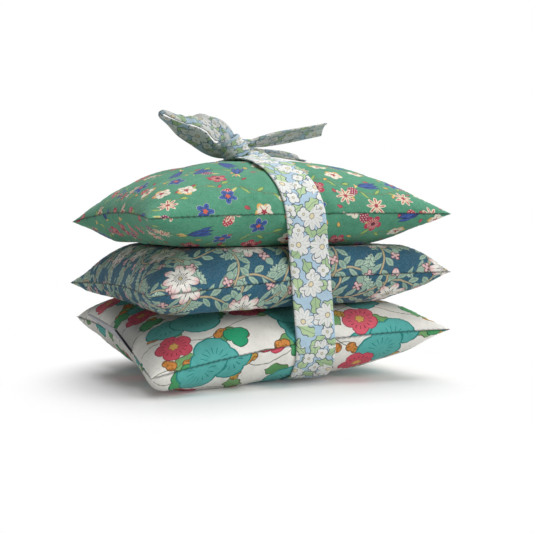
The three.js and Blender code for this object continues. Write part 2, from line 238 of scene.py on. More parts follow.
# Label: one strip of satin folded once, its two ends sewn into the bottom sachet's left seam
LABEL_LENGTH = 38.0
LABEL_DEPTH = 10.5
LABEL_OFFSET = -8.0
LABEL_STAND = np.radians((56, 40))
LABEL_ROOT = 1.2
LABEL_GAP = 0.22
LABEL_PLY = 0.3
LABEL_GAPE = 0.08
LABEL_CURL = 0.01
LABEL_CURL_POWER = 1.6
LABEL_WAVE = (-1.2, 2.0)
LABEL_WAVE_SHARE = 0.6
LABEL_OPEN = (1.0, 0.2)
LABEL_STATIONS = 40
LABEL_COLUMNS = 49

# Closing stitches
STITCH_SET_IN = 1.7
STITCH_RADIUS = 0.15
STITCH_SWELL = 0.3
STITCH_WAVE = 2.1
STITCH_SIDES = 6
STITCH_POINTS = 121

# Light, surroundings and camera
FLOOR_HALF = 3000.0
FLOOR_DEPTH = 0.06
FLOOR_FADE = (0.062, 0.098)
FLOOR_MIDDLE = (0.0, -0.034)
FLOOR_LIFT = 0.07
FLOOR_SEEN = 0.9
FLOOR_BOUNCE = 0.75
AMBIENT = 0.09
KEY = dict(power=2.3, spread=62, toward=(-0.22, -0.12, -0.97))
FILL = dict(power=1.9, spread=70, toward=(-0.56, 0.73, -0.39))
CAMERA_PLACE = (-144.7, -368.6, 60.3)
CAMERA_HEADING = (0.389, 0.921)
CAMERA_PITCH = math.radians(-2.9)
CAMERA_LENS = 67.54
CAMERA_SENSOR = 36


def smooth(low, high, value):
    """0 below low, 1 above high, eased between."""
    share = np.clip((value - low) / (high - low), 0, 1)
    return share * share * (3 - 2 * share)


# Meshes

def add_mesh(name, points, faces, loop_uvs=None, point_values=None):
    mesh = bpy.data.meshes.new(name)
    mesh.from_pydata((np.asarray(points) * MM).tolist(), [], faces)
    if loop_uvs is not None:
        layer = mesh.uv_layers.new(name="cloth_mm")
        layer.data.foreach_set("uv", np.asarray(loop_uvs, np.float32).ravel())
    for key, values in (point_values or {}).items():
        attribute = mesh.attributes.new(key, "FLOAT", "POINT")
        attribute.data.foreach_set("value", np.asarray(values, np.float32))
    mesh.shade_smooth()
    mesh.validate()
    piece = bpy.data.objects.new(name, mesh)
    bpy.context.scene.collection.objects.link(piece)
    return piece


def add_shell(name, upper, lower, upper_uv, lower_uv, closed=False, mark=None, marks=None):
    """A closed skin of two grids with the same border; closed joins the first and last station."""
    stations, across = upper.shape[:2]
    index_up = np.arange(stations * across).reshape(stations, across)
    inner = np.zeros((stations, across), bool)
    inner[slice(None) if closed else slice(1, -1), 1:-1] = True
    index_low = index_up.copy()
    index_low[inner] = stations * across + np.arange(inner.sum())
    points = np.concatenate([upper.reshape(-1, 3), lower[inner]])
    faces, uvs = [], []
    for index, uv, flipped in ((index_up, upper_uv, False), (index_low, lower_uv, True)):
        for i in range(stations if closed else stations - 1):
            k = (i + 1) % stations
            for j in range(across - 1):
                corners = [(i, i, j), (k, i + 1, j), (k, i + 1, j + 1), (i, i, j + 1)]
                if flipped:
                    corners.reverse()
                faces.append([int(index[a, c]) for a, _, c in corners])
                uvs.extend(uv[b, c] for _, b, c in corners)
    values = None
    if marks is not None:
        values = {mark: np.concatenate([marks.ravel(), marks[inner]])}
    return add_mesh(name, points, faces, uvs, values)


def add_tube(name, rings, uvs, capped, ring_values=None):
    """A skin through rings of points, closed at its ends or joined to itself."""
    count, around = rings.shape[:2]
    points = list(rings.reshape(-1, 3))
    runs = count - 1 if capped else count
    faces, loop_uvs = [], []
    for i in range(runs):
        following = (i + 1) % count
        for j in range(around):
            k = (j + 1) % around
            faces.append([i * around + j, i * around + k, following * around + k, following * around + j])
            loop_uvs.extend([uvs[i, j], uvs[i, j + 1], uvs[i + 1, j + 1], uvs[i + 1, j]])
    if capped:
        for ring, flipped in ((0, True), (count - 1, False)):
            points.append(rings[ring].mean(axis=0))
            for j in range(around):
                pair = [ring * around + j, ring * around + (j + 1) % around]
                if flipped:
                    pair.reverse()
                faces.append([len(points) - 1, *pair])
                loop_uvs.extend([uvs[ring, j]] * 3)
    values = None
    if ring_values is not None:
        values = {"folded": np.concatenate([np.repeat(ring_values, around), ring_values[[0, -1]]])}
        # the knot's points carry its share of painted shade
        values["bow_painted_shade"] = np.full(len(values["folded"]), SHADED_KNOT)
    return add_mesh(name, points, faces, loop_uvs, values)


def run_lengths(points):
    """Length up to each point, along the first axis."""
    steps = np.linalg.norm(np.diff(points, axis=0), axis=-1)
    return np.concatenate([np.zeros((1, *steps.shape[1:])), np.cumsum(steps, axis=0)])


def cloth_lengths(grid):
    """Lengths along and across a grid of points."""
    return run_lengths(grid), run_lengths(grid.swapaxes(0, 1)).T


def cloth_uv(grid, shift):
    """Flat places of a grid of points, as lengths along the cloth from its middle."""
    stations, across = grid.shape[:2]
    along, aside = cloth_lengths(grid)
    along = along - along[stations // 2]
    aside = aside - aside[:, across // 2][:, None]
    return np.stack([along + shift[0], aside + shift[1]], axis=2)


def grid_normals(grid, face):
    along, aside = np.gradient(grid, axis=0), np.gradient(grid, axis=1)
    normals = np.cross(along, aside) * face
    return normals / np.maximum(np.linalg.norm(normals, axis=2, keepdims=True), 1e-9)


def path_length(points):
    return float(run_lengths(points)[-1])


def points_along(path, count, last=True):
    """Points evenly along a path, with or without its last one."""
    lengths = run_lengths(path)
    places = np.linspace(0, lengths[-1], count, endpoint=last)
    return np.stack([np.interp(places, lengths, axis) for axis in path.T], axis=1)


def lumps(grid, seed):
    """A slow uneven rise and fall over a surface, from -1 to 1."""
    random = np.random.default_rng(seed)
    total = np.zeros(grid.shape[:-1])
    for _ in range(LUMP_WAVES):
        direction = random.normal(size=3)
        direction *= 2 * math.pi / (LUMP_LENGTH * random.uniform(*LUMP_SPREAD)) / np.linalg.norm(direction)
        total += np.sin(grid @ direction + random.uniform(0, 2 * math.pi))
    return total / (LUMP_WAVES / 2)


# Sachet forms

def seam_height(sachet, u, v):
    front_left, front_right, back_left, back_right = sachet["tips"]
    right, back = (1 + u) / 2, (1 + v) / 2
    front_height = front_left * (1 - right) + front_right * right
    back_height = back_left * (1 - right) + back_right * right
    plane = front_height * (1 - back) ** FRONT_FALL + back_height * (1 - (1 - back) ** FRONT_FALL)
    front_back, left_right = sachet["arches"]
    bend = front_back * (1 - u * u) * v * v + left_right * (1 - v * v) * u * u
    return sachet["level"] + plane + bend


def seam_places(sachet, u, v, edge=0.0):
    """Points at a sachet's seam height, for places u and v from -1 to 1 across it, drawn in from its edge."""
    half_x = HALF_SIDE - SIDE_DRAW * (1 - v * v)
    half_y = HALF_SIDE - SIDE_DRAW * (1 - u * u)
    u_in, v_in = u * (1 - edge / half_x), v * (1 - edge / half_y)
    points = np.stack([STACK_X + u_in * half_x, v_in * half_y, seam_height(sachet, u_in, v_in)], axis=-1)
    draw_ear(sachet, points)
    return points


def fading(distance, reach):
    return np.exp(-((distance / reach) ** 2))


def from_left_corner(points, end):
    """Distance from a sachet's left corner at the front (end -1) or the back (end 1)."""
    return np.hypot(points[..., 0] - STACK_X + HALF_SIDE, points[..., 1] - end * HALF_SIDE)


def draw_ear(sachet, points):
    """Draws a sachet's back left corner in along both its seams."""
    near = fading(from_left_corner(points, 1), EAR_REACH)
    points[..., 0] += sachet["ear"] * near
    points[..., 1] -= sachet["ear"] * near


def shape_bottom_corners(points, swell, face):
    """Tucks in the bottom sachet's front left corner and presses its back left corner thin."""
    tip = from_left_corner(points, -1)
    points[..., :2] += TUCK_IN * fading(tip, TUCK_REACH)[..., None]
    if face < 0:
        full = fading(tip - TUCK_FILL_PLACE * TUCK_REACH, TUCK_REACH) * smooth(0, TUCK_FILL_EDGE, swell)
        points[..., 2] -= TUCK_FILL * full
    return 1 - EAR_PRESS * fading(from_left_corner(points, 1), EAR_REACH)


def cushion_face(sachet, cells, face, edge=0.0, skin=0.0):
    """One face of a filled sachet (1 upper, -1 lower), as a grid of points."""
    line = np.sin(np.linspace(-1, 1, cells + 1) * math.pi / 2)
    u, v = np.meshgrid(line, line, indexing="ij")
    flatness = sachet["upper_flatness"] if face > 0 else HELD_FLATNESS
    swell = ((1 - np.abs(u) ** flatness) * (1 - np.abs(v) ** flatness)) ** DOME_ROUNDNESS
    points = seam_places(sachet, u, v, edge)
    if sachet is SACHETS["bottom"]:
        swell = swell * shape_bottom_corners(points, swell, face)
    crown = sachet["up"] if face > 0 else sachet["down"]
    points[..., 2] += face * (crown - skin) * swell
    return hold(sachet, points, skin, soft=CONTACT_SOFTNESS)


def ease_up(height, soft):
    """A height that eases into 0 from above, and is kept there below it."""
    turn = soft * np.logaddexp(0, height / soft)
    return turn - soft * math.log(2) * np.exp(-np.abs(height) / soft)


def hold(sachet, points, skin=0.0, soft=0.0):
    """Keeps a sachet between what lies under and over it, with rounded turns if soft."""
    left, front = (STACK_X - points[..., 0]) / HALF_SIDE, -points[..., 1] / HALF_SIDE
    corner = np.clip((1 + left) * (1 + front) / 4, 0, 1) ** SAG_SPREAD
    floor = sachet["floor"] + skin - SAG * corner * (sachet is SACHETS["middle"])
    ceiling = sachet["ceiling"] - skin - SAG * corner * (sachet is SACHETS["bottom"])
    z = points[..., 2]
    if soft:
        z = floor + ease_up(z - floor, soft)
        z = ceiling - soft * np.logaddexp(0, (ceiling - z) / soft)
    points[..., 2] = np.clip(z, floor, ceiling)
    return points


def depth_from_seam(faces):
    """Distance along the cloth from the nearest seam, for both faces."""
    depths = []
    for grid in faces:
        along, aside = cloth_lengths(grid)
        along = np.minimum(along, along[-1:] - along)
        aside = np.minimum(aside, aside[:, -1:] - aside)
        depths.append(np.minimum(along, aside))
    return np.stack(depths)


# Course of the band round the stack, as [y, z]

def convex_outline(points):
    """The convex outline of [y, z] points, anticlockwise."""
    ordered = sorted(set(map(tuple, np.round(points, 4).tolist())))

    def chain(run):
        kept = []
        for p in run:
            while len(kept) > 1:
                (ay, az), (by, bz) = kept[-2], kept[-1]
                if (by - ay) * (p[1] - az) - (bz - az) * (p[0] - ay) > 0:
                    break
                kept.pop()
            kept.append(p)
        return kept[:-1]

    return np.array(chain(ordered) + chain(ordered[::-1]))


def resample(path, step):
    """A closed path again, with points about step apart."""
    around = np.vstack([path, path[:1]])
    return points_along(around, round(path_length(around) / step), last=False)


def path_normals(path):
    ahead = np.roll(path, -1, axis=0) - np.roll(path, 1, axis=0)
    ahead /= np.linalg.norm(ahead, axis=1, keepdims=True)
    return np.stack([ahead[:, 1], -ahead[:, 0]], axis=1)


def band_course():
    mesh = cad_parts["tie_band"].data
    points = np.array([vertex.co[:] for vertex in mesh.vertices]) / MM
    path = resample(convex_outline(points[:, 1:]), BAND_STEP)
    for _ in range(BAND_SMOOTHINGS):
        path = 0.25 * np.roll(path, 1, axis=0) + 0.5 * path + 0.25 * np.roll(path, -1, axis=0)
    return resample(path, BAND_STEP)


def tie_middle(z):
    return STACK_X + TIE_SHIFT + TIE_SLANT * (0.5 - z / STACK_HEIGHT)


band_path = band_course()
band_out = path_normals(band_path)
inner_path = band_path - band_out * (TIE_THICKNESS + BIND_DEPTH)
inner_limits = np.sum(band_out * inner_path, axis=1)


def bind(points):
    """Moves points that would come through the tie back under it."""
    aside = np.abs(points[..., 0] - tie_middle(points[..., 2])) - TIE_WIDTH / 2 - BIND_MARGIN
    near = aside < BIND_REACH
    held = points[near]
    over = held[:, 1:] @ band_out.T - inner_limits
    worst = over.argmax(axis=1)
    allowed = np.maximum(aside[near], 0) * BIND_SLOPE
    depth = np.maximum(over[np.arange(len(held)), worst] - allowed, 0)
    held[:, 1:] -= band_out[worst] * depth[:, None]
    points[near] = held
    return points


# Settling: the cloth shortens along its seams, and what is spare puckers

def pull(points, first, second, rest, stiffness):
    a, b = points[first], points[second]
    gap = b - a
    length = np.maximum(np.linalg.norm(gap, axis=-1), 1e-6)
    move = gap * (0.5 * stiffness * (1 - rest / length))[..., None]
    points[first] = a + move
    points[second] = b - move


def pairs(size, reach):
    """Slices that pair every point of a row with the one reach further on, in runs that share no point."""
    stride = 2 * reach
    for start in range(stride):
        count = (size - reach - 1 - start) // stride + 1
        if count > 0:
            end = start + (count - 1) * stride + 1
            yield slice(start, end, stride), slice(start + reach, end + reach, stride)


def cloth_links(target, spare):
    """What holds the cloth together: along both threads, over one and two cells, and across the cells."""
    size = target.shape[1]
    links = []

    def link(one, two, stiffness, gathered=False):
        rest = np.linalg.norm(target[two] - target[one], axis=-1)
        loose = rest * 0.5 * (spare[one] + spare[two])
        links.append((one, two, rest * SEAM_GATHER if gathered else loose, stiffness))

    whole, inside = slice(None), slice(1, -1)
    for reach, stiffness in ((1, 1.0), (2, BEND_STIFFNESS)):
        for first, second in pairs(size, reach):
            link((whole, first, inside), (whole, second, inside), stiffness)
            link((whole, inside, first), (whole, inside, second), stiffness)
    for first, second in pairs(size, 1):
        for border in (slice(0, 1), slice(-1, None)):
            link((whole, first, border), (whole, second, border), 1.0, gathered=True)
            link((whole, border, first), (whole, border, second), 1.0, gathered=True)
        for low, high in pairs(size, 1):
            link((whole, first, low), (whole, second, high), SHEAR_STIFFNESS)
            link((whole, first, high), (whole, second, low), SHEAR_STIFFNESS)
    return links


def both_faces(sachet, cells, *inset):
    return np.stack([cushion_face(sachet, cells, face, *inset) for face in (1, -1)])


def settle(sachet, seed):
    faces = both_faces(sachet, SIDE_CELLS)
    depth = depth_from_seam(faces)
    normals = np.stack([grid_normals(faces[0], 1), grid_normals(faces[1], -1)])
    rise = lumps(faces, seed) * LUMP_HEIGHT * smooth(0, LUMP_MARGIN, depth)
    target = faces + normals * rise[..., None]
    random = np.random.default_rng(seed + RUFFLE_SEED)
    ruffle = random.normal(0, FIRST_RUFFLE, depth.shape) * (depth > 0)
    points = target + normals * ruffle[..., None]
    links = cloth_links(target, 1 + SPARE_CLOTH + SEAM_SPARE_CLOTH * np.exp(-depth / SPARE_DEPTH))
    borders = ((0, slice(None)), (-1, slice(None)), (slice(None), 0), (slice(None), -1))
    for step in range(SETTLE_STEPS):
        for one, two, rest, stiffness in links:
            pull(points, one, two, rest, stiffness)
        shared = points.mean(axis=0)
        for border in borders:
            points[(slice(None), *border)] = shared[border]
        away = points - target
        length = np.linalg.norm(away, axis=-1, keepdims=True)
        away *= np.minimum(1, SETTLE_REACH / np.maximum(length, 1e-6))
        points = target + away * SETTLE_EASE
        points = hold(sachet, points)
        if step % BIND_EVERY == 0 or step > SETTLE_STEPS - LAST_STEPS:
            points = bind(points)
    return points


# Sachets

def add_sachet(name, order):
    sachet = SACHETS[name]
    faces = settle(sachet, order)
    upper, lower = faces
    along = SACHET_CLOTH * order
    piece = add_shell(f"{name}_sachet", upper, lower,
                      cloth_uv(upper, (along, 0)), cloth_uv(lower, (along, PANEL_BACK)),
                      mark="seam_mm", marks=depth_from_seam(faces)[0])
    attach(piece, "sachet_stack")
    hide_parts(f"{name}_lower_panel", f"{name}_upper_panel")
    return piece


def add_filling(name):
    upper, lower = bind(both_faces(SACHETS[name], FILLING_CELLS, FILLING_EDGE, FILLING_SKIN))
    piece = add_shell(f"{name}_lavender", upper, lower,
                      cloth_uv(upper, (0, 0)), cloth_uv(lower, (0, PANEL_BACK)))
    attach(piece, "sachet_stack")
    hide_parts(f"{name}_filling")
    return piece


def add_thread(name):
    """The closing stitches, a fine thread just inside the seam."""
    sachet = SACHETS[name]
    run = np.sin(np.linspace(-1, 1, STITCH_POINTS) * math.pi / 2)[:-1]
    end = np.ones(len(run))
    u = np.concatenate([run, end, -run, -end])
    v = np.concatenate([-end, run, end, -run])
    path = seam_places(sachet, u, v, STITCH_SET_IN)
    if name == "bottom":
        shape_bottom_corners(path, np.zeros(len(path)), 1)
    turn = np.linspace(0, 2 * math.pi, STITCH_SIDES, endpoint=False)
    outward = path - np.array([STACK_X, 0, 0])
    outward[:, 2] = 0
    outward /= np.linalg.norm(outward, axis=1, keepdims=True)
    stitch = STITCH_RADIUS * (1 + STITCH_SWELL * np.sin(np.arange(len(path)) * STITCH_WAVE))
    round_it = outward[:, None] * np.cos(turn)[None, :, None] + UP * np.sin(turn)[None, :, None]
    rings = path[:, None] + stitch[:, None, None] * round_it
    thread = add_tube(f"{name}_stitches", rings, np.zeros((len(path) + 1, len(turn) + 1, 2)), capped=False)
    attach(thread, "sachet_stack")
    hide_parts(f"{name}_seam_thread")
    return thread


# Tie

def strip_shell(name, middle, thickness, shift, closed=False, gathered=None, shaded=0.0):
    """A flattened tube of cloth over a grid of middle points, rounded along both edges and at open ends."""
    stations, columns = middle.shape[:2]
    if closed:
        wide = np.concatenate([middle[-2:], middle, middle[:2]])
        normals = grid_normals(wide, 1)[2:-2]
    else:
        normals = grid_normals(middle, 1)
    across = np.abs(np.linspace(-1, 1, columns))
    plump = np.sqrt(np.clip(1 - across ** STRIP_EDGE_POWER, 0, 1)) * (1 - STRIP_HOLLOW * (1 - across ** 2))
    plump = np.broadcast_to(plump, (stations, columns)).copy()
    if not closed:
        ends = np.abs(np.linspace(-1, 1, stations))
        plump *= np.sqrt(np.clip(1 - ends ** STRIP_END_POWER, 0, 1))[:, None]
    offset = normals * (plump * thickness / 2)[..., None]
    upper, lower = middle + offset, middle - offset
    uv = cloth_uv(middle, shift)
    if gathered is not None:
        uv[..., 1] += (uv[..., 1] - shift[1]) * GATHERED_CLOTH * gathered[:, None]
    if closed:
        length = uv[-1, :, 0].mean() - uv[0, :, 0].mean()
        last = uv[:1].copy()
        last[..., 0] += length * stations / (stations - 1)
        uv = np.concatenate([uv, last])
    # each point carries the strip's share of painted shade
    marks = np.full((stations, columns), shaded)
    return add_shell(name, upper, lower, uv, uv + STRIP_BACK, closed=closed, mark="bow_painted_shade", marks=marks)


def add_band():
    """The part of the tie that goes round the stack, gathered under the knot."""
    share = np.linspace(-1, 1, BAND_COLUMNS)[None, :]
    path = band_path - band_out * TIE_THICKNESS / 2
    from_knot = np.hypot(path[:, 0], path[:, 1] - path[:, 1].max())[:, None]
    near = fading(from_knot, BAND_GATHER_REACH)
    pleats = BAND_GATHER * (1 + np.cos(BAND_PLEATS * math.pi * share))
    lift = near * (BAND_LIFT * smooth(*BAND_LIFT_EDGE, share) + pleats)
    half_width = TIE_WIDTH / 2 * (1 - BAND_NARROWING * near)
    middle = np.stack([
        tie_middle(path[:, 1])[:, None] + share * half_width + BAND_DRAW * near * np.clip(-share, 0, 1),
        path[:, :1] + band_out[:, :1] * lift,
        path[:, 1:] + band_out[:, 1:] * lift,
    ], axis=2)
    band = strip_shell("tie_around_stack", middle, TIE_THICKNESS, CLOTH_PLACES["band"], closed=True)
    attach(band, "sachet_stack")
    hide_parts("tie_band")
    return band


def curve_through(places, count):
    """A smooth curve through places, with count points evenly along it."""
    points = np.array([places[0], *places, places[-1]], float)
    points[0] = 2 * points[1] - points[2]
    points[-1] = 2 * points[-2] - points[-3]
    before, here, after, beyond = (points[k:len(points) - 3 + k, None] for k in range(4))
    t = np.linspace(0, 1, CURVE_STEPS, endpoint=False)[:, None]
    fine = 0.5 * (2 * here + (after - before) * t + (2 * before - 5 * here + 4 * after - beyond) * t ** 2
                  + (3 * here - before - 3 * after + beyond) * t ** 3)
    return points_along(np.vstack([*fine, points[-2]]), count)


def crumple(middle, gathered, pleats, pleat_height, fold_height, seed):
    """Moves a strip's points off their plane: pleats at its gathered ends, and soft folds."""
    stations, columns = middle.shape[:2]
    along = np.linspace(0, 1, stations)[:, None]
    across = np.linspace(-1, 1, columns)[None, :]
    gathered = gathered[:, None]
    sway = PLEAT_SWAY * np.sin(PLEAT_SWAY_WAVES * along + seed)
    wave = np.sin(pleats * math.pi * across + sway) * gathered * pleat_height
    folds = lumps(middle * FOLD_STRETCH, seed) * fold_height * (1 - FOLD_FLATTENING * gathered)
    return middle + grid_normals(middle, 1) * (wave + folds)[..., None]


def edge_strip(far, near, stations, columns, bulge):
    """A strip's middle grid between two smooth edges in step with each other, bowed out across its width."""
    both = curve_through(np.hstack([far, near]), stations)[:, None]
    share = np.linspace(0, 1, columns)[None, :, None]
    middle = both[..., :3] * (1 - share) + both[..., 3:] * share
    return middle + grid_normals(middle, 1) * (bulge * np.sin(math.pi * share))


def loop_ridge(along, across):
    """The crease along the loop's upper leg and the wrinkles over it, as shares of the ridge's height."""
    (start, low), (end, high) = LOOP_CREASE
    place = low + (high - low) * (along - start) / (end - start)
    (before, after), (before_end, after_end) = LOOP_CREASE_ENDS
    present = smooth(start + before, start + after, along)
    present = present * (1 - smooth(end + before_end, end + after_end, along))
    ridge = np.exp(-((np.abs(across - place) / LOOP_CREASE_WIDTH) ** LOOP_CREASE_POWER)) * present
    for place, share, wide in LOOP_WRINKLES:
        bend = along - place - WRINKLE_SWAY * np.sin(4 * across + 9 * place)
        ridge = ridge + share * fading(bend, wide) * np.sin(math.pi * across) ** WRINKLE_POWER
    return ridge


def blend(piece):
    """Bakes a piece's placement into its mesh."""
    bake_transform(piece)


def add_loop():
    middle = edge_strip(LOOP_FAR, LOOP_NEAR, LOOP_STATIONS, LOOP_COLUMNS, LOOP_BULGE)
    along = np.linspace(0, 1, LOOP_STATIONS)
    across = np.linspace(0, 1, LOOP_COLUMNS)
    gathered = np.exp(-np.minimum(along, 1 - along) * LOOP_GATHER_FADE)
    middle = crumple(middle, gathered, **LOOP_CRUMPLE)
    ridge = loop_ridge(along[:, None], across[None, :])
    middle = middle + grid_normals(middle, 1) * (ridge * LOOP_RIDGE)[..., None] + KNOT
    loop = strip_shell("tie_half_bow", middle, TIE_THICKNESS, CLOTH_PLACES["loop"], gathered=gathered,
                       shaded=SHADED_LOOP)
    path_length(middle[:, LOOP_COLUMNS // 2]) * MM
    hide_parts("tie_loop")
    blend(loop)
    return loop


def add_tail(which):
    shape = TAILS[which]
    middle = edge_strip(shape["far"], shape["near"], TAIL_STATIONS, TAIL_COLUMNS, TAIL_BULGE)
    gathered = np.exp(-np.linspace(0, 1, TAIL_STATIONS) * TAIL_GATHER_FADE)
    middle = crumple(middle, gathered, **TAIL_CRUMPLE, seed=shape["seed"]) + KNOT
    tail = strip_shell(f"tie_end_{which}", middle, TIE_THICKNESS, CLOTH_PLACES[which], gathered=gathered,
                       shaded=SHADED_TAILS)
    path_length(middle[:, TAIL_COLUMNS // 2]) * MM
    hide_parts(f"tie_{which}_tail")
    blend(tail)
    return tail


def add_knot():
    """A slanted sleeve of pleated cloth round the legs of the bow, with its edges turned in at both ends."""
    a, r = curve_through(SLEEVE_PROFILE, SLEEVE_RINGS).T[..., None]
    turns = np.linspace(0, 2 * math.pi, SLEEVE_SIDES, endpoint=False)
    right, back = np.cos(turns), np.sin(turns)
    power = SLEEVE_SQUARENESS
    squared = (np.abs(right) ** power + np.abs(back) ** power) ** (-1 / power)
    wander = sum(far * np.sin(times * turns + turn) for far, times, turn in SLEEVE_WANDER)
    pleat = np.sin(2 * math.pi * (a + wander) / SLEEVE_PLEAT) * (1 - smooth(*SLEEVE_FOLD, a))
    reach = (r + smooth(*SLEEVE_OUTSIDE, r) * SLEEVE_PLEAT_SHARE * pleat) * squared
    rings = (KNOT + SLEEVE_SHIFT + SLEEVE_AXIS * a[..., None]
             + SLEEVE_RISE * (right * SLEEVE_HALF_HEIGHT * reach)[..., None]
             + BACK * (back * SLEEVE_HALF_DEPTH * reach)[..., None])
    rings[..., 2] = np.maximum(rings[..., 2], KNOT[2] + SLEEVE_FOOT)
    around = np.linspace(0, 2 * math.pi * SLEEVE_HALF_DEPTH, SLEEVE_SIDES + 1)
    length = run_lengths(a) * SLEEVE_CLOTH_SHARE
    uvs = np.stack(np.meshgrid(length, around, indexing="ij"), axis=2)[..., ::-1]
    knot = add_tube("tie_wrapped_knot", rings, uvs + np.array(CLOTH_PLACES["knot"]), capped=True,
                    ring_values=smooth(*SLEEVE_FOLD, a[:, 0]))
    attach(knot, "sachet_stack")
    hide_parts("tie_knot")
    return knot


# Label

def add_label():
    y = LABEL_OFFSET + LABEL_LENGTH * np.linspace(-0.5, 0.5, LABEL_STATIONS)
    v = y / HALF_SIDE
    seam_x = STACK_X - HALF_SIDE + SIDE_DRAW * (1 - v * v)
    foot = np.stack([seam_x, y, seam_height(SACHETS["bottom"], -np.ones(LABEL_STATIONS), v)], axis=1)
    stand = np.linspace(*LABEL_STAND, LABEL_STATIONS)[:, None]
    out = RIGHT * -np.cos(stand) + UP * np.sin(stand)
    side = RIGHT * np.sin(stand) + UP * np.cos(stand)
    radius = (LABEL_GAP + LABEL_PLY) / 2
    reach = LABEL_DEPTH + LABEL_ROOT - radius
    toward_front = np.linspace(*LABEL_OPEN, LABEL_STATIONS) ** 2
    wave = 1 - LABEL_WAVE_SHARE * (1 - np.cos(np.linspace(*LABEL_WAVE, LABEL_STATIONS)))
    middle = np.zeros((LABEL_STATIONS, LABEL_COLUMNS, 3))
    for j, s in enumerate(np.linspace(0, 2 * reach + math.pi * radius, LABEL_COLUMNS)):
        if s < reach:
            away, aside = s, -radius
        elif s > reach + math.pi * radius:
            away, aside = 2 * reach + math.pi * radius - s, radius
        else:
            turn = (s - reach) / radius
            away, aside = reach + radius * math.sin(turn), -radius * math.cos(turn)
        gape = LABEL_GAPE * math.sin(math.pi * min(1, max(0, away / reach))) * toward_front
        aside += math.copysign(1, aside) * gape - LABEL_CURL * away ** LABEL_CURL_POWER * wave
        middle[:, j] = foot + out * (away - LABEL_ROOT) + side * aside[:, None]
    label = strip_shell("folded_label", middle, LABEL_PLY, CLOTH_PLACES["label"])
    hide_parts("side_label")
    blend(label)
    return label


# Materials: sizes in a print are millimetres of cloth, and colours are written as they are seen

EDGE_BLUR = 0.12
OUTLINE_BLUR = 0.09
TURN = 2 * math.pi


def as_light(seen):
    """A colour such as "#a0b0c0", as the shader takes it."""
    shares = [int(seen[k:k + 2], 16) / 255 for k in (1, 3, 5)]
    linear = [s / 12.92 if s <= 0.04045 else ((s + 0.055) / 1.055) ** 2.4 for s in shares]
    return (*linear, 1.0)


def operator(operation, swapped=False):
    """A method that puts a value and another number into one sum."""
    def work(value, *other):
        order = (*other, value) if swapped else (value, *other)
        return value.net.sum(operation, *order)
    return work


def function(operation):
    """A method that puts its numbers into one sum."""
    return lambda net, *values: net.sum(operation, *values)


class Value:
    """A number that a shader works out, for use in sums."""

    __add__ = __radd__ = operator("ADD")
    __sub__ = operator("SUBTRACT")
    __rsub__ = operator("SUBTRACT", swapped=True)
    __mul__ = __rmul__ = operator("MULTIPLY")
    __truediv__ = operator("DIVIDE")
    __pow__ = operator("POWER")
    __abs__ = operator("ABSOLUTE")

    def __init__(self, net, socket):
        self.net = net
        self.socket = socket


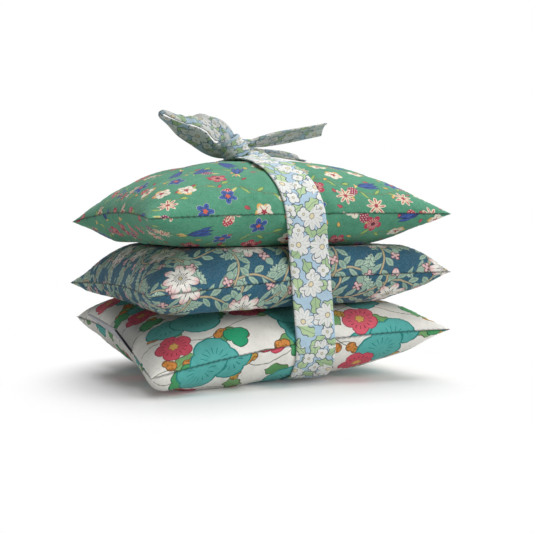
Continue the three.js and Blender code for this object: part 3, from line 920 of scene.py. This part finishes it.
class Net:
    """The nodes of one material or world, and the colour that a print has so far."""

    floor = function("FLOOR")
    part = function("FRACT")
    sine = function("SINE")
    cosine = function("COSINE")
    least = function("MINIMUM")
    most = function("MAXIMUM")
    above = function("GREATER_THAN")

    def __init__(self, owner, colour=None):
        self.owner = owner
        self.colour = colour
        owner.use_nodes = True
        self.tree = owner.node_tree
        self.tree.nodes.clear()

    def close(self, shader, kind="ShaderNodeOutputMaterial"):
        """Ends the nodes in an output and gives what they belong to."""
        output = self.node(kind)
        self.feed(output.inputs["Surface"], shader.outputs[0])
        return self.owner

    def node(self, kind, **settings):
        made = self.tree.nodes.new(kind)
        for key, value in settings.items():
            setattr(made, key, value)
        return made

    def feed(self, socket, value):
        if isinstance(value, Value):
            value = value.socket
        if isinstance(value, bpy.types.NodeSocket):
            self.tree.links.new(value, socket)
        else:
            socket.default_value = as_light(value) if isinstance(value, str) else value

    def sum(self, operation, *values, clamp=False):
        made = self.node("ShaderNodeMath", operation=operation, use_clamp=clamp)
        for socket, value in zip(made.inputs, values):
            self.feed(socket, value)
        return Value(self, made.outputs[0])

    def joined(self, kind, *values):
        """A node that joins shaders, or mixes them by a share that comes first."""
        made = self.node(kind)
        for socket, value in zip(made.inputs, values):
            self.feed(socket, value.outputs[0] if isinstance(value, bpy.types.Node) else value)
        return made

    def split(self, kind, socket):
        """The single numbers of a place or a colour."""
        made = self.node(kind)
        self.feed(made.inputs[0], socket)
        return [Value(self, output) for output in made.outputs]

    def attribute(self, name):
        return Value(self, self.node("ShaderNodeAttribute", attribute_name=name).outputs["Fac"])

    def length(self, x, y):
        return self.sum("SQRT", x * x + y * y)

    def inside(self, field, blur=EDGE_BLUR):
        """1 where field, in millimetres, is below zero, with a soft edge."""
        return self.sum("MULTIPLY_ADD", field, -0.5 / blur, 0.5, clamp=True)

    def excess(self, value, level, strength):
        """How far a value is above a level, times a strength, from 0 to 1."""
        return self.sum("MULTIPLY", value - level, strength, clamp=True)

    def among(self, chance, low, high):
        """1 where a chance lies from low to high."""
        return self.above(chance, low) - self.above(chance, high)

    def mix(self, share, first, second):
        made = self.node("ShaderNodeMix", data_type="RGBA")
        for place, value in ((0, share), (6, first), (7, second)):
            self.feed(made.inputs[place], value)
        return made.outputs[2]

    def palette(self, chance, *colours):
        """One of the colours for each chance from 0 to 1, in equal shares."""
        made = self.node("ShaderNodeValToRGB")
        ramp = made.color_ramp
        ramp.interpolation = "CONSTANT"
        while len(ramp.elements) < len(colours):
            ramp.elements.new(0.5)
        for k in range(len(colours)):
            ramp.elements[k].position = k / len(colours)
        for k, colour in enumerate(colours):
            ramp.elements[k].color = as_light(colour)
        self.feed(made.inputs[0], chance)
        return made.outputs[0]

    def place(self, x, y):
        made = self.node("ShaderNodeCombineXYZ")
        self.feed(made.inputs[0], x)
        self.feed(made.inputs[1], y)
        return made.outputs[0]

    def cloth(self):
        """Places along and across the cloth, in millimetres."""
        uv = self.node("ShaderNodeUVMap", uv_map="cloth_mm")
        return self.split("ShaderNodeSeparateXYZ", uv.outputs[0])[:2]

    def noise(self, x, y, size, detail=2.0):
        made = self.node("ShaderNodeTexNoise", noise_dimensions="2D")
        self.feed(made.inputs["Vector"], self.place(x, y))
        made.inputs["Scale"].default_value = 1 / size
        made.inputs["Detail"].default_value = detail
        return Value(self, made.outputs["Fac"])

    def scatter(self, x, y, wide, high, stray, seed):
        """A half-drop repeat: each cell's own turned axes in millimetres, and a chance from 0 to 1."""
        column = self.floor(x / wide)
        dropped = y + self.part(column * 0.5) * high
        row = self.floor(dropped / high)
        chance = self.node("ShaderNodeTexWhiteNoise", noise_dimensions="2D")
        self.feed(chance.inputs["Vector"], self.place(column + seed, row - seed * 1.7))
        red, green, blue = self.split("ShaderNodeSeparateColor", chance.outputs["Color"])
        across = (x / wide - column - 0.5) * wide - (red - 0.5) * (2 * stray)
        up = (dropped / high - row - 0.5) * high - (green - 0.5) * (2 * stray)
        angle = blue * TURN + seed
        cosine, sine = self.cosine(angle), self.sine(angle)
        return across * cosine + up * sine, up * cosine - across * sine, self.part(red * 7.3 + green * 3.1)

    def turned(self, x, y, angle):
        """Places in axes that are turned by a fixed angle."""
        cosine, sine = math.cos(angle), math.sin(angle)
        return x * cosine + y * sine, y * cosine - x * sine

    def flower(self, x, y, radius, petals, depth, roundness=1.0):
        """Distance outside a flower's outline, its angle and its distance from the middle."""
        angle = self.sum("ARCTAN2", y, x)
        wave = abs(self.cosine(angle * (petals / 2)))
        if roundness != 1.0:
            wave = wave ** roundness
        reach = self.length(x, y)
        return reach - (wave * (depth * radius) + (1 - depth) * radius), angle, reach

    def leaf(self, x, y, long, wide):
        """Distance outside a pointed leaf that lies along x."""
        along = x * (2 / long)
        return abs(y) - (1 - along * along) * (wide / 2)

    def line(self, field, width):
        return abs(field) - width / 2

    def vine(self, x, y, pitch, sway, period, shift):
        """Distance along and across the nearest of a set of wavy stems."""
        t = (y - self.sine(x * (TURN / period) + shift) * sway + shift * 3.7) / pitch
        return x, (self.part(t) - 0.5) * pitch

    def vine_leaves(self, along, across, every, offset, lean, long, wide, shift):
        """Distance outside leaves that leave a stem on both sides by turns."""
        side = self.above(across, 0)
        t = (along + side * (every * 0.5) + shift) / every
        at = (self.part(t) - 0.5) * every
        return self.leaf(*self.turned(at, abs(across) - offset, lean), long, wide)

    def tint(self, share, colour):
        """Lays a colour over the print, in a share from 0 to 1."""
        self.colour = self.mix(share, self.colour, colour)

    def draw(self, field, width, colour, blur=EDGE_BLUR, within=1.0):
        """Draws a line where field is zero."""
        self.tint(self.inside(self.line(field, width), blur) * within, colour)

    def paint(self, field, colour, outline=None, width=0.3, shown=1.0):
        """Paints a shape where shown is 1, with an outline of its own colour if there is one."""
        self.tint(self.inside(field) * shown, colour)
        if outline:
            self.draw(field, width, outline, OUTLINE_BLUR, shown)


def new_print(name):
    net = Net(bpy.data.materials.new(name))
    return net, *net.cloth()


def finish_cloth(net, x, y, rough=0.8, sheen=0.12, thread=0.34, seam=True, mottle=1.0):
    """Adds weave, creases of wear and painted shade along the seam, and closes the material."""
    fleck = net.noise(x, y, 0.42, 1.0)
    net.tint(net.sum("MULTIPLY", abs(fleck - 0.5), 0.45 * mottle, clamp=True), "#f6f4ec")
    slub = net.noise(x * 0.25, y * 3.0, 0.8, 1.0) * 0.5 + net.noise(x * 3.0, y * 0.25, 0.8, 1.0) * 0.5
    net.tint(net.excess(slub, 0.5, 1.3 * mottle), "#181e20")
    net.tint(net.excess(net.noise(x + 31, y + 11, 14.0), 0.4, 0.25), "#1e2224")
    if seam:
        # painted shade: the cloth darkens towards the seam, where its groove lies
        stitch = net.sine((x + y) * (TURN / 2.1)) * 0.1
        dark = net.sum("MULTIPLY_ADD", net.attribute("seam_mm") + stitch, -1 / 0.6, 1.0, clamp=True)
        net.tint(dark * 0.75, "#0c1414")
    weave = net.sine(x * (TURN / thread)) * net.sine(y * (TURN / thread)) * 0.5
    fuzz = net.noise(x, y, 0.5)
    crease = net.noise(x * 0.8, y * 0.8, 5.5, 3.0)
    bump = net.node("ShaderNodeBump")
    bump.inputs["Strength"].default_value = 0.35
    bump.inputs["Distance"].default_value = 0.00006
    net.feed(bump.inputs["Height"], weave + fuzz + crease * 9.0)
    shader = net.node("ShaderNodeBsdfPrincipled")
    net.feed(shader.inputs["Base Color"], net.colour)
    shader.inputs["Roughness"].default_value = rough
    shader.inputs["Specular IOR Level"].default_value = 0.25
    shader.inputs["Sheen Weight"].default_value = sheen
    shader.inputs["Sheen Roughness"].default_value = 0.4
    net.feed(shader.inputs["Normal"], bump.outputs[0])
    return net.close(shader)


def star_blossom(net, x, y, shown):
    """Eight narrow cream petals with a coral stripe along each."""
    outline, angle, reach = net.flower(x, y, 3.9, 8, 0.56, 1.5)
    stripe = net.above(abs(net.cosine(angle * 4.0)), 0.93) * net.inside(reach - 3.2)
    net.paint(outline, net.mix(stripe, "#f0e2c4", "#cc4658"), shown=shown)
    net.paint(reach - 0.8, "#b03042", shown=shown)


def open_blossom(net, x, y, shown):
    """Five round white petals with crimson veins and an amber edge on one side."""
    outline, angle, reach = net.flower(x, y, 3.6, 5, 0.34, 0.75)
    amber = net.inside(2.6 - reach, 0.5) * net.above(x + y * 0.4, 0.4)
    petal = net.mix(amber, "#f4eeda", "#eab246")
    vein = net.above(abs(net.cosine(angle * 2.5)), 0.985) * net.inside(reach - 2.4)
    net.paint(outline, net.mix(vein, petal, "#ba283e"), shown=shown)
    net.paint(net.flower(x, y, 1.15, 5, 0.5)[0], "#b02038", shown=shown)


def rose_blossom(net, x, y, shown):
    """Five magenta petals with cream streaks round a dark heart."""
    outline, angle, reach = net.flower(x, y, 3.5, 5, 0.42, 0.8)
    streak = net.above(net.cosine(angle * 15.0), 0.55) * net.inside(0.9 - reach) * net.inside(reach - 2.3)
    net.paint(outline, net.mix(streak, "#be3054", "#ecc6b0"), shown=shown)
    net.paint(reach - 0.8, "#54162c", shown=shown)


def long_bell(net, x, y, shown):
    """Three long blue petals folded along one another, and thin amber stamens at their mouth."""
    fields = []
    for angle in (-0.19, 0.0, 0.2):
        px, py = net.turned(x + 4.8, y, angle)
        fields.append(net.leaf(px - 4.9, py, 9.8, 2.0))
    bell = net.least(net.least(fields[0], fields[1]), fields[2])
    blue = net.mix(net.inside(net.line(fields[1], 0.5)), "#2254a6", "#12285c")
    net.paint(bell, blue, "#142450", 0.22, shown)
    for angle, tone in ((2.6, "#f0ce60"), (3.1, "#e08278"), (3.6, "#f2d678")):
        px, py = net.turned(x + 4.2, y, angle)
        net.paint(net.leaf(px - 1.5, py, 3.4, 0.62), tone, shown=shown)


def blue_blossom(net, x, y, shown):
    """Five notched blue petals with a thin pale edge and a red heart."""
    outline, angle, reach = net.flower(x, y, 3.5, 5, 0.5, 1.1)
    fold = net.above(net.cosine(angle * 10.0), 0.5) * net.inside(reach - 2.4)
    net.paint(outline, net.mix(fold, "#2458a8", "#142656"), "#ceccb0", 0.16, shown)
    net.paint(net.flower(x, y, 1.0, 5, 0.4)[0], "#d6603c", shown=shown)


def green_print():
    """Five kinds of blossom, raspberries and seeds over thin vines on green."""
    net, x, y = new_print("green_print")
    net.colour = net.mix(net.noise(x, y, 18.0), "#388c6a", "#50a280")
    along, across = net.vine(x, y, 19.0, 4.0, 41.0, 0.4)
    net.draw(across, 0.3, "#746e3c")
    leaves = net.vine_leaves(along, across, 11.5, 1.5, 0.75, 4.4, 1.3, 0.0)
    net.paint(leaves, "#a0be60", "#2c5c3c", 0.2)
    sx, sy, pick = net.scatter(x + 4, y + 9, 8.3, 7.7, 1.7, 5.0)
    tone = net.palette(pick, "#000000", "#b23442", "#e8be60", "#c44854")
    net.paint(net.leaf(sx, sy, 2.5, 1.3), tone, "#60282c", 0.2, net.above(pick, 0.45))
    bx, by, pick = net.scatter(x + 3, y + 21, 24.0, 21.0, 3.0, 23.0)
    dots = net.cosine(bx * 7.2) + net.cosine(bx * 3.6 + by * 6.24) + net.cosine(bx * 3.6 - by * 6.24)
    tone = net.palette(pick, "#a0244c", "#c03448", "#842858")
    net.paint(net.leaf(bx + 2.8, by - 0.8, 3.8, 1.2), "#d4d082")
    net.paint(net.length(bx, by * 1.15) - 2.3, net.mix(net.above(dots, 1.5), tone, "#f2ded6"))
    dx, dy, pick = net.scatter(x, y, 11.4, 12.0, 1.9, 2.0)
    motifs = (star_blossom, long_bell, open_blossom, rose_blossom, blue_blossom)
    for place, motif in enumerate(motifs):
        motif(net, dx, dy, net.among(pick, place / len(motifs), (place + 0.93) / len(motifs)))
    return finish_cloth(net, x, y)


def spray(net, x, y, pitch, sway, period, shift, lean, sage):
    """A tan stem with narrow sage leaves, each with a dark midrib."""
    along, across = net.vine(x, y, pitch, sway, period, shift)
    leaves = net.vine_leaves(along, across, 4.9, 2.4, lean, 5.6, 2.2, shift)
    net.paint(leaves, sage, "#265460", 0.16)
    net.draw(leaves + 0.85, 0.12, "#386868", 0.08)
    net.paint(net.line(across, 0.85), "#c4b28c", "#425450", 0.16)


def teal_print():
    """White blossoms, sage sprays, fronds and pink pods on teal."""
    net, x, y = new_print("teal_print")
    net.colour = net.mix(net.noise(x, y, 18.0), "#04506a", "#0c627e")
    sage = net.mix(net.noise(x + 7, y, 3.0), "#8cb29e", "#b6d0ba")
    lx, ly, _ = net.scatter(x + 11, y + 3, 16.5, 15.0, 2.0, 17.0)
    frond = net.leaf(lx, ly, 11.0, 4.4) + net.sine(lx * 4.4) * 0.42 * net.inside(1.0 - abs(ly), 0.6)
    net.paint(frond, "#bad4be", "#1e4654", 0.2)
    ribs = net.least(net.line(net.part(lx * 0.55 + abs(ly) * 0.5) - 0.5, 0.16), net.line(ly, 0.2))
    net.tint(net.inside(ribs, OUTLINE_BLUR) * net.inside(frond + 0.5), "#28545c")
    spray(net, x, y, 17.5, 4.0, 38.0, 0.0, 0.75, sage)
    spray(net, y, x, 19.0, 4.5, 47.0, 2.1, -0.8, sage)
    bx, by, _ = net.scatter(x + 5, y + 2, 12.7, 13.9, 2.4, 4.0)
    net.paint(net.leaf(bx + 1.6, by, 4.4, 2.8), sage, "#2c545c", 0.2)
    pods = net.length(bx - 0.9, by) - 0.85
    for px, py in ((0.2, 1.0), (0.2, -1.0), (1.9, 0.9), (1.9, -0.9)):
        pods = net.least(pods, net.length(bx - px, by - py) - 0.72)
    net.paint(pods, "#ecc4c4", "#68223a", 0.28)
    fx, fy, _ = net.scatter(x + 4, y + 8, 26.0, 24.0, 3.5, 9.0)
    outline, angle, reach = net.flower(fx, fy, 6.9, 7, 0.46, 0.9)
    blush = net.sum("MULTIPLY_ADD", reach, 1 / 3.2, -1.3, clamp=True)
    petal = net.mix(blush, "#fcf8f0", "#eaaaac")
    crease = net.inside(net.line(net.sine(angle * 3.5), 0.07), 0.03) * net.inside(1.5 - reach)
    net.paint(outline, net.mix(crease, petal, "#783446"), "#542638", 0.26)
    ray = net.above(net.cosine(angle * 21.0), 0.45) * net.inside(reach - 2.9 - net.cosine(angle * 7.0) * 0.7)
    net.tint(ray, "#1a1e26")
    net.paint(reach - 0.7, "#cebe8c", "#1a1e26", 0.2)
    return finish_cloth(net, x, y)


def veins(net, angle, reach, count, share, start, end):
    """Short lines between two distances from a blossom's middle."""
    return net.above(net.cosine(angle * count), share) * net.inside(start - reach) * net.inside(reach - end)


def ecru_print():
    """Large teal and coral blossoms with green leaves and amber pairs on ecru."""
    net, x, y = new_print("ecru_print")
    brown, teal, dark = "#54502c", "#58b8b2", "#128a84"
    net.colour = net.mix(net.noise(x, y, 22.0), "#f6f3ea", "#fbf9f3")
    _, across = net.vine(x, y, 17.0, 4.0, 40.0, 0.8)
    net.draw(across, 0.32, "#5c623c")
    lx, ly, pick = net.scatter(x + 2, y + 5, 19.0, 17.0, 2.6, 3.0)
    lobes = net.leaf(lx, ly, 12.0, 6.2) + net.cosine(lx * 1.2) * 0.5
    net.paint(lobes, net.palette(pick, "#70ac68", "#80b474", "#5c9c5c"), brown, 0.42)
    net.draw(ly + net.sine(lx) * 0.3, 0.24, "#467642", 0.1, net.inside(lobes + 0.9) * net.above(lx, -1.5))
    bx, by, pick = net.scatter(x + 8, y, 21.0, 23.0, 3.0, 7.0)
    stalk = net.line(by - bx * bx * 0.12 + 2.6, 0.26)
    net.tint(net.inside(net.most(stalk, abs(bx) - 4.2), 0.1), brown)
    pair = net.least(net.length(abs(bx) - 3.0, by) - 2.0, net.length(abs(bx) - 4.9, by - 1.5) - 1.5)
    amber = net.mix(net.above(net.noise(x, y, 1.1, 1.0), 0.56), net.palette(pick, "#de9242", "#d0a84a"),
                    "#b0702c")
    net.paint(pair, amber, "#704a26", 0.34)
    tx, ty, pick = net.scatter(x + 12, y + 9, 25.0, 22.0, 3.5, 13.0)
    green = net.palette(pick, "#18a674", "#48a668")
    net.paint(net.flower(tx, ty, 4.9, 3, 0.36, 0.7)[0], green, "#126048", 0.4, net.above(pick, 0.4))
    px, py, _ = net.scatter(x, y, 35.0, 31.0, 3.5, 21.0)
    outline, angle, reach = net.flower(px - 6.2, py - 2.6, 8.0, 3, 0.24, 0.7)
    net.paint(outline, teal, dark, 0.6)
    net.tint(veins(net, angle, reach, 12.0, 0.8, 2.4, 4.4), dark)
    outline, angle, reach = net.flower(px + 4.6, py + 1.2, 9.8, 3, 0.22, 0.7)
    net.paint(outline, teal, dark, 0.6)
    net.tint(veins(net, angle, reach, 15.0, 0.86, 2.6, 5.4) * net.inside(outline), dark)
    cx, cy, pick = net.scatter(x + 17, y + 11, 36.0, 39.0, 4.5, 33.0)
    outline, angle, reach = net.flower(cx, cy, 7.0, 5, 0.24, 0.7)
    coral = net.mix(veins(net, angle, reach, 15.0, 0.82, 3.4, 4.8),
                    net.palette(pick, "#e86074", "#e05268"), "#962438")
    net.paint(outline, coral, "#9e2e42", 0.36)
    net.paint(net.flower(cx, cy, 1.9, 6, 0.3)[0], "#ecba60", "#964632", 0.2)
    return finish_cloth(net, x, y, mottle=0.45)


def tie_print():
    """White daisies and small blossoms among pale green leaves on light blue."""
    net, x, y = new_print("tie_print")
    navy, white = "#344464", "#f0f1ed"
    net.colour = net.mix(net.noise(x, y, 9.0), "#accce2", "#c4ddec")
    lx, ly, pick = net.scatter(x + 3, y + 1, 6.9, 7.6, 1.5, 6.0)
    leaf = net.leaf(lx, ly, 8.8, 3.8) + net.cosine(lx * 2.1) * 0.35
    net.paint(leaf, net.palette(pick, "#b0ce9c", "#c0daa8"), navy, 0.32)
    net.draw(ly, 0.18, "#708c7c", OUTLINE_BLUR, net.inside(leaf + 0.5))
    bx, by, pick = net.scatter(x, y + 4, 5.3, 5.7, 1.0, 8.0)
    outline, _, reach = net.flower(bx, by, 2.5, 4, 0.36, 0.75)
    shown = net.above(pick, 0.25)
    net.paint(outline, white, navy, 0.3, shown)
    net.paint(reach - 0.45, "#e8deb8", "#787874", 0.16, shown)
    fx, fy, _ = net.scatter(x + 6, y + 6, 12.0, 11.4, 2.0, 14.0)
    outline, angle, reach = net.flower(fx, fy * 1.15, 5.2, 9, 0.42, 0.62)
    half = net.above(fx, -1.6)
    net.paint(outline, white, navy, 0.34, half)
    within = net.inside(1.6 - reach) * net.inside(outline) * half
    net.draw(net.sine(angle * 4.5) * reach, 0.24, "#54627c", 0.1, within)
    net.paint(net.flower(fx, fy, 1.0, 8, 0.25)[0], "#f0e2b8", navy, 0.2, half)
    net.tint(net.attribute("folded") * 0.8, "#bad4e4")
    # painted shade: the bow's loop, tails and knot darken by their share
    net.tint(net.attribute("bow_painted_shade"), "#283a28")
    return finish_cloth(net, x, y, seam=False, mottle=0.6)


def label_satin():
    net, x, y = new_print("label_satin")
    rib = net.sine((x + y * 0.15) * (TURN / 0.5))
    net.colour = net.mix(rib * 0.2 + 0.5, "#6a6a72", "#84848c")
    return finish_cloth(net, x, y, rough=0.42, sheen=0.1, thread=0.25, seam=False, mottle=0.4)


def sewing_thread():
    net, x, y = new_print("sewing_thread")
    net.colour = "#e4e0d4"
    return finish_cloth(net, x, y, seam=False)


def dried_lavender():
    """Grey and violet buds, each a cell of its own colour."""
    net, x, y = new_print("dried_lavender")
    bud = net.node("ShaderNodeTexVoronoi", voronoi_dimensions="2D")
    net.feed(bud.inputs["Vector"], net.place(x, y * 0.6))
    bud.inputs["Scale"].default_value = 0.45
    chance = net.split("ShaderNodeSeparateColor", bud.outputs["Color"])[0]
    bump = net.node("ShaderNodeBump")
    bump.inputs["Distance"].default_value = 0.0008
    net.feed(bump.inputs["Height"], 1 - Value(net, bud.outputs["Distance"]))
    shader = net.node("ShaderNodeBsdfPrincipled")
    net.feed(shader.inputs["Base Color"], net.palette(chance, "#7a6c96", "#605878",
                                                      "#8c8670", "#68705c"))
    shader.inputs["Roughness"].default_value = 0.9
    net.feed(shader.inputs["Normal"], bump.outputs[0])
    return net.close(shader)


# Surroundings

def seen_directly(net):
    """1 for what the camera sees, straight or by way of gloss or glass."""
    path = net.node("ShaderNodeLightPath")
    seen = Value(net, path.outputs["Is Camera Ray"]) + Value(net, path.outputs["Is Glossy Ray"])
    return net.sum("ADD", seen, Value(net, path.outputs["Is Transmission Ray"]), clamp=True)


def add_floor():
    half = FLOOR_HALF
    corners = [(-half, -half), (half, -half), (half, half), (-half, half)]
    floor = add_mesh("floor", [(x, y, -FLOOR_DEPTH) for x, y in corners], [(0, 1, 2, 3)])
    net = Net(bpy.data.materials.new("floor_white"))
    x, y, _ = net.split("ShaderNodeSeparateXYZ", net.node("ShaderNodeNewGeometry").outputs["Position"])
    away = net.length(x - FLOOR_MIDDLE[0], y - FLOOR_MIDDLE[1])
    fade = net.node("ShaderNodeMapRange", interpolation_type="SMOOTHSTEP")
    net.feed(fade.inputs["Value"], away)
    fade.inputs["From Min"].default_value, fade.inputs["From Max"].default_value = FLOOR_FADE
    seen = seen_directly(net)
    matt = net.node("ShaderNodeBsdfDiffuse")
    tone = seen * (FLOOR_SEEN - FLOOR_BOUNCE) + FLOOR_BOUNCE
    net.feed(matt.inputs["Color"], net.mix(tone, "#000000", "#ffffff"))
    glow = net.node("ShaderNodeEmission")
    lift = net.node("ShaderNodeEmission")
    net.feed(lift.inputs["Strength"], seen * FLOOR_LIFT)
    near = net.joined("ShaderNodeAddShader", matt, lift)
    both = net.joined("ShaderNodeMixShader", Value(net, fade.outputs["Result"]) * seen, near, glow)
    net.close(both)
    floor.data.materials.append(net.owner)


def add_lamp(name, power, spread, toward):
    data = bpy.data.lights.new(name, "SUN")
    data.energy = power
    data.angle = math.radians(spread)
    lamp = bpy.data.objects.new(name, data)
    lamp.rotation_euler = Vector(toward).to_track_quat("-Z", "Y").to_euler()
    bpy.context.scene.collection.objects.link(lamp)


def add_world():
    world = bpy.data.worlds.new("studio")
    bpy.context.scene.world = world
    net = Net(world)
    soft = net.node("ShaderNodeBackground")
    soft.inputs["Strength"].default_value = AMBIENT
    white = net.node("ShaderNodeBackground")
    for shade in (soft, white):
        shade.inputs["Color"].default_value = (1, 1, 1, 1)
    net.close(net.joined("ShaderNodeMixShader", seen_directly(net), soft, white), "ShaderNodeOutputWorld")


def add_camera():
    heading = Vector((*CAMERA_HEADING, 0)).normalized()
    look = heading * math.cos(CAMERA_PITCH) + Vector((0, 0, math.sin(CAMERA_PITCH)))
    data = bpy.data.cameras.new("camera")
    data.lens, data.sensor_width = CAMERA_LENS, CAMERA_SENSOR
    camera = bpy.data.objects.new("camera", data)
    camera.location = Vector(CAMERA_PLACE) * MM
    camera.rotation_euler = look.to_track_quat("-Z", "Y").to_euler()
    bpy.context.scene.collection.objects.link(camera)
    bpy.context.scene.camera = camera


add_camera()
add_floor()
add_world()
add_lamp("key", **KEY)
add_lamp("fill", **FILL)

prints = {"bottom": ecru_print(), "middle": teal_print(), "top": green_print()}
lavender = dried_lavender()
tie_cloth = tie_print()
thread = sewing_thread()
for order, name in enumerate(SACHETS):
    add_sachet(name, order + 1).data.materials.append(prints[name])
    add_filling(name).data.materials.append(lavender)
    add_thread(name).data.materials.append(thread)
band = add_band()
knot = add_knot()
path_length(np.vstack([band_path, band_path[:1]])) * MM
for piece in (band, knot, add_tail("upper"), add_tail("lower"), add_loop()):
    piece.data.materials.append(tie_cloth)
add_label().data.materials.append(label_satin())

bpy.context.scene.view_settings.view_transform = "Standard"
